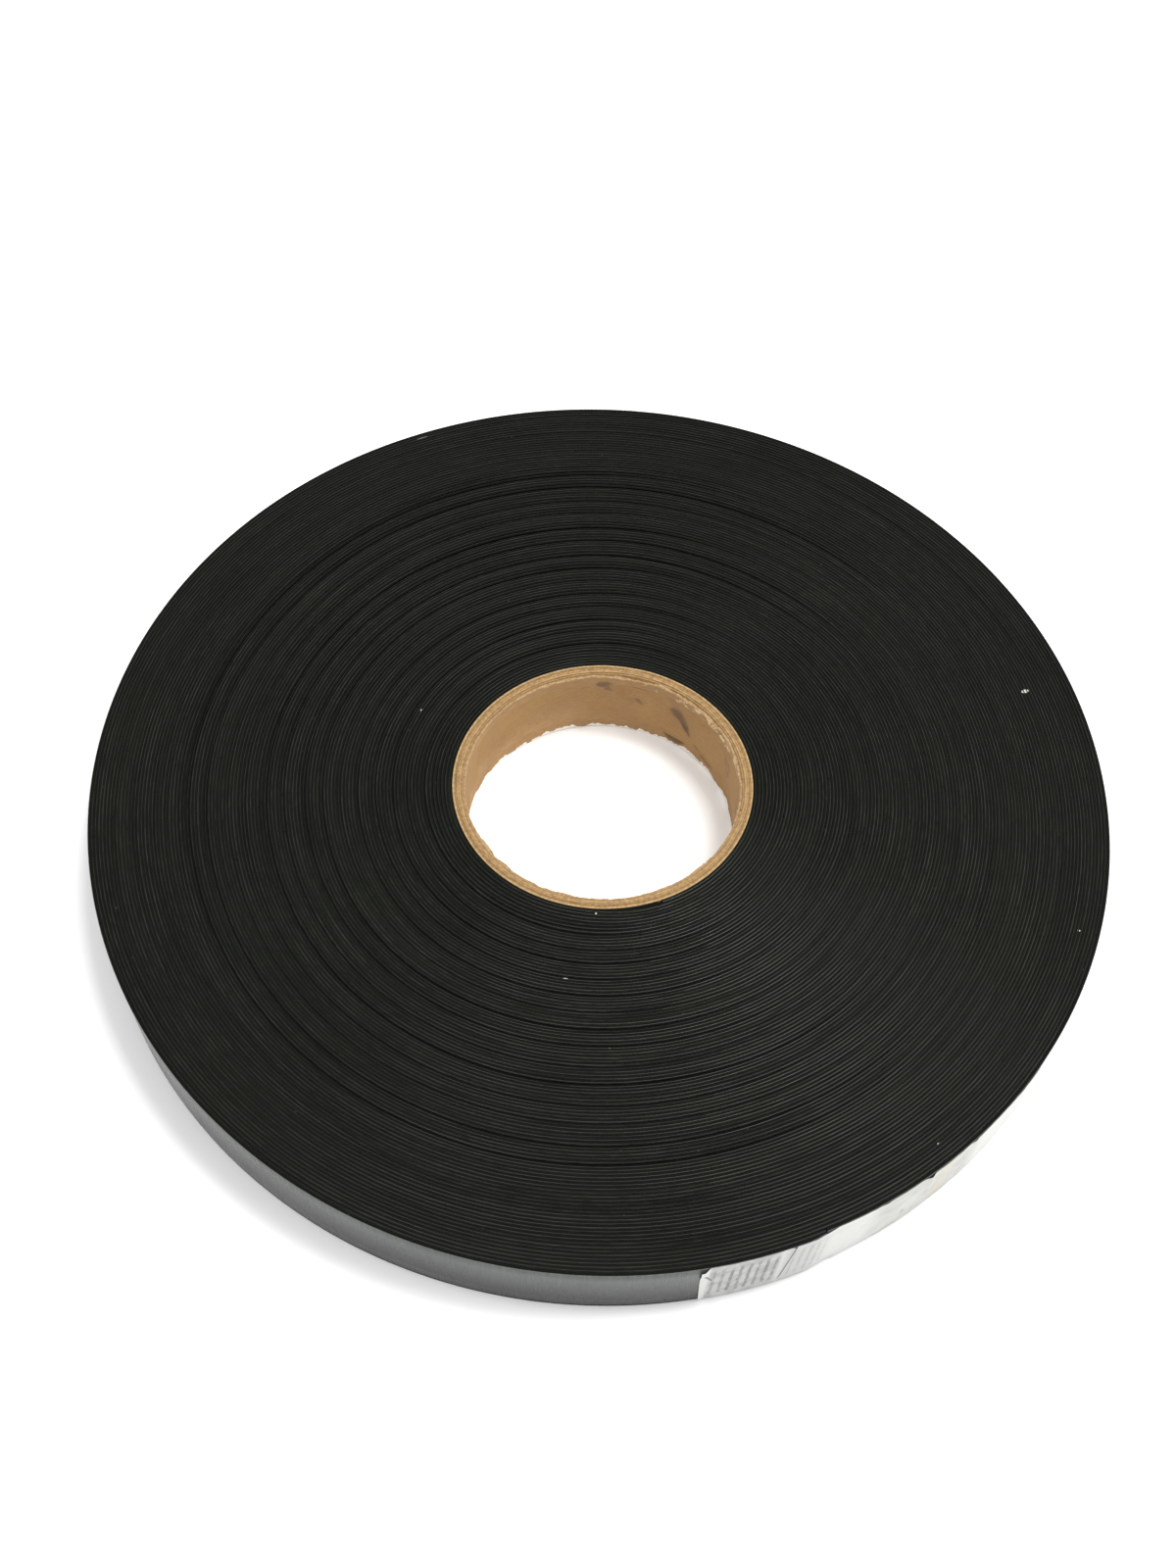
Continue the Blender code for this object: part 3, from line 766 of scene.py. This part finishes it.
# ---------------------------------------------------------------------------
# core: six plies of board, each with its slanted seam
# ---------------------------------------------------------------------------
BOARDS = [
    ("core_inner_ply", (0.285, 0.166, 0.070), (0.445, 0.283, 0.131), (0.350, 0.228, 0.112)),
    ("core_ply_2", (0.283, 0.161, 0.062), (0.389, 0.234, 0.096), (0.289, 0.175, 0.074)),
    ("core_ply_3", (0.330, 0.197, 0.078), (0.437, 0.271, 0.118), (0.342, 0.219, 0.099)),
    ("core_ply_4", (0.271, 0.154, 0.056), (0.366, 0.220, 0.087), (0.307, 0.190, 0.082)),
    ("core_ply_5", (0.212, 0.108, 0.034), (0.307, 0.166, 0.056), (0.260, 0.145, 0.052)),
    ("core_outer_ply", (0.319, 0.199, 0.087), (0.425, 0.283, 0.134), (0.372, 0.252, 0.121)),
]


def ply(n):
    node, dark, light, edge = BOARDS[n]
    r_in = BORE_R + n * (PLY_T + PLY_GAP)
    r_out = r_in + PLY_T
    count = 720
    s = np.linspace(0.0, 1.0, count)
    seam = END + radians(6.0) * (9 * n + 2) + radians(3.0)
    turn_sign = -1.0 if n % 2 else 1.0
    gap = 0.26 * MM / ((r_in + r_out) / 2.0)

    def at(radius, z):
        radius, z = np.broadcast_arrays(radius, z)
        lean = turn_sign * np.tan(SEAM_SLANT) * (z - H / 2.0) / ((r_in + r_out) / 2.0)
        angle = seam + lean + gap / 2.0 + s * (2.0 * pi - gap)
        return polar(radius + oval(0.0, angle), angle, z)

    x = s * 2.0 * pi
    rag = noise1(s * 150.0, 60 + n) * 0.5 + noise1(s * 430.0, 70 + n) * 0.5
    top = H + MM * (-0.10 + 0.05 * noise1(s * 40.0, 80 + n) + 0.05 * rag + (-0.80, -0.36, -0.06, -0.04, -0.12, 0.0)[n])
    if n == 1:
        top = top + MM * (0.13 * noise1(s * 60.0, 68) + 0.08 * rag)
    low = MM * (0.07 + 0.05 * noise1(s * 60.0, 90 + n))
    bend = 0.03 * MM * noise1(s * 14.0, 100 + n)
    if n == 0:
        # The saw leaves a ragged lip of torn paper at both ends of the bore.
        lip = MM * np.clip(0.04 + 0.22 * noise1(s * 34.0, 61) + 0.18 * noise1(s * 120.0, 62)
                           + 0.10 * noise1(s * 320.0, 63), 0.0, 0.45)
        lip_low = MM * np.clip(0.06 + 0.14 * noise1(s * 30.0, 64) + 0.10 * noise1(s * 95.0, 65), 0.0, 0.3)
        where = (seam + s * 2.0 * pi)
        rough_side = np.exp(-((np.mod(where - radians(48.0) + pi, 2.0 * pi) - pi) / radians(34.0)) ** 2)
        rough_side = rough_side + 0.8 * np.exp(-((np.mod(where - radians(196.0) + pi, 2.0 * pi) - pi) / radians(20.0)) ** 2)
        lip = lip + MM * rough_side * np.clip(0.25 + 0.75 * noise1(s * 75.0, 69), 0.0, 0.75)
        top = top + MM * ((0.22 + 0.30 * rough_side) * noise1(s * 46.0, 67) + (0.16 + 0.2 * rough_side) * rag)
        points = [at(r_in - lip_low, low + 0.05 * MM), at(r_in - 0.45 * lip_low, low + 0.32 * MM),
                  at(r_in + bend, low + 0.9 * MM)]
        for share in (0.2, 0.4, 0.6, 0.8):
            points.append(at(r_in + bend + 0.02 * MM * noise1(s * 25.0 + share * 9.0, 66), low + (top - low) * share))
        points += [at(r_in + bend, top - 0.8 * MM), at(r_in - 0.35 * lip, top - 0.30 * MM),
                   at(r_in - lip, top - 0.02 * MM), at(r_in - 0.6 * lip, top + 0.05 * MM * rag)]
    else:
        points = [at(r_in, low + 0.04 * MM), at(r_in, top - 0.05 * MM)]
    points += [at(r_in + 0.12 * PLY_T / 0.55, top + 0.03 * MM * rag), at((r_in + r_out) / 2.0, top + 0.05 * MM * rag),
               at(r_out - 0.05 * MM, top), at(r_out, top - 0.07 * MM), at(r_out, low + 0.07 * MM),
               at(r_out - 0.05 * MM, low), at(r_in + 0.08 * MM, low)]
    rings = np.stack(points, 1)
    mat = board_material(node + "_board", dark, light, edge, n, bore=(n == 0))
    piece = sweep(node.replace("core_", "board_"), rings, [mat], sharp=55.0)
    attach(piece, "roll")
    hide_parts(node)
    return piece


for n in range(PLY_COUNT):
    ply(n)


# ---------------------------------------------------------------------------
# floor, light, camera
# ---------------------------------------------------------------------------
def floor():
    m = Tree("white_floor", specular=0.2)
    tone = m.noise(m.pos, 3.0, 2.0)
    m.finish(m.mix(tone, (0.850, 0.855, 0.852), (0.875, 0.880, 0.877)), 0.75)
    mesh = bpy.data.meshes.new("floor")
    e = 6.0
    mesh.from_pydata([(-e, -e, -0.00003), (e, -e, -0.00003), (e, e, -0.00003), (-e, e, -0.00003)], [], [(0, 1, 2, 3)])
    mesh.materials.append(m.mat)
    obj = bpy.data.objects.new("floor", mesh)
    SCENE.collection.objects.link(obj)


floor()


def area_light(name, azimuth, elevation, distance, size, power, colour=(1.0, 1.0, 1.0)):
    a, e = radians(azimuth), radians(elevation)
    where = Vector((cos(e) * cos(a), cos(e) * sin(a), sin(e))) * distance
    data = bpy.data.lights.new(name, "AREA")
    data.shape = "RECTANGLE"
    data.size, data.size_y = size
    data.energy = power
    data.color = colour
    obj = bpy.data.objects.new(name, data)
    obj.location = where
    obj.rotation_euler = (-where).to_track_quat("-Z", "Y").to_euler()
    SCENE.collection.objects.link(obj)
    return obj


area_light("key", 27.0, 72.0, 2.6, (0.75, 0.75), 48.0, (1.0, 0.995, 0.985))
area_light("fill_right", -4.0, 46.0, 2.2, (1.6, 1.6), 15.0)
area_light("overhead_left", 190.0, 81.0, 2.6, (0.30, 0.30), 13.0)

world = bpy.data.worlds.new("studio")
SCENE.world = world
world.use_nodes = True
back = world.node_tree.nodes["Background"]
back.inputs[0].default_value = (1.0, 1.0, 1.0, 1.0)
back.inputs[1].default_value = 0.93

SCENE.view_settings.view_transform = "Standard"
SCENE.view_settings.look = "None"
SCENE.view_settings.exposure = 0.0
SCENE.view_settings.gamma = 1.0


def camera():
    """Three quarters from above, a little turned, with the lens raised on its plate."""
    focal, tilt, roll, distance = 1764.68, 1.079063, 0.0579619, 3.416399
    off_x, off_y, plate = 0.0298, 0.322061, 164.275
    unit = 0.14245
    forward = Vector((0.0, cos(tilt), -sin(tilt)))
    right = Vector((1.0, 0.0, 0.0))
    up = right.cross(forward)
    r2 = cos(roll) * right + sin(roll) * up
    u2 = -sin(roll) * right + cos(roll) * up
    where = -(off_x * r2 + off_y * u2 + distance * forward) * unit
    data = bpy.data.cameras.new("camera")
    data.sensor_width = 36.0
    data.sensor_fit = "AUTO"
    data.lens = focal / 1600.0 * 36.0
    data.shift_y = plate / 1600.0
    data.clip_start = 0.01
    obj = bpy.data.objects.new("camera", data)
    turn = Matrix((r2, u2, -forward)).transposed().to_4x4()
    obj.matrix_world = Matrix.Translation(where + Vector((0.0, 0.0, H))) @ turn
    SCENE.collection.objects.link(obj)
    SCENE.camera = obj


camera()
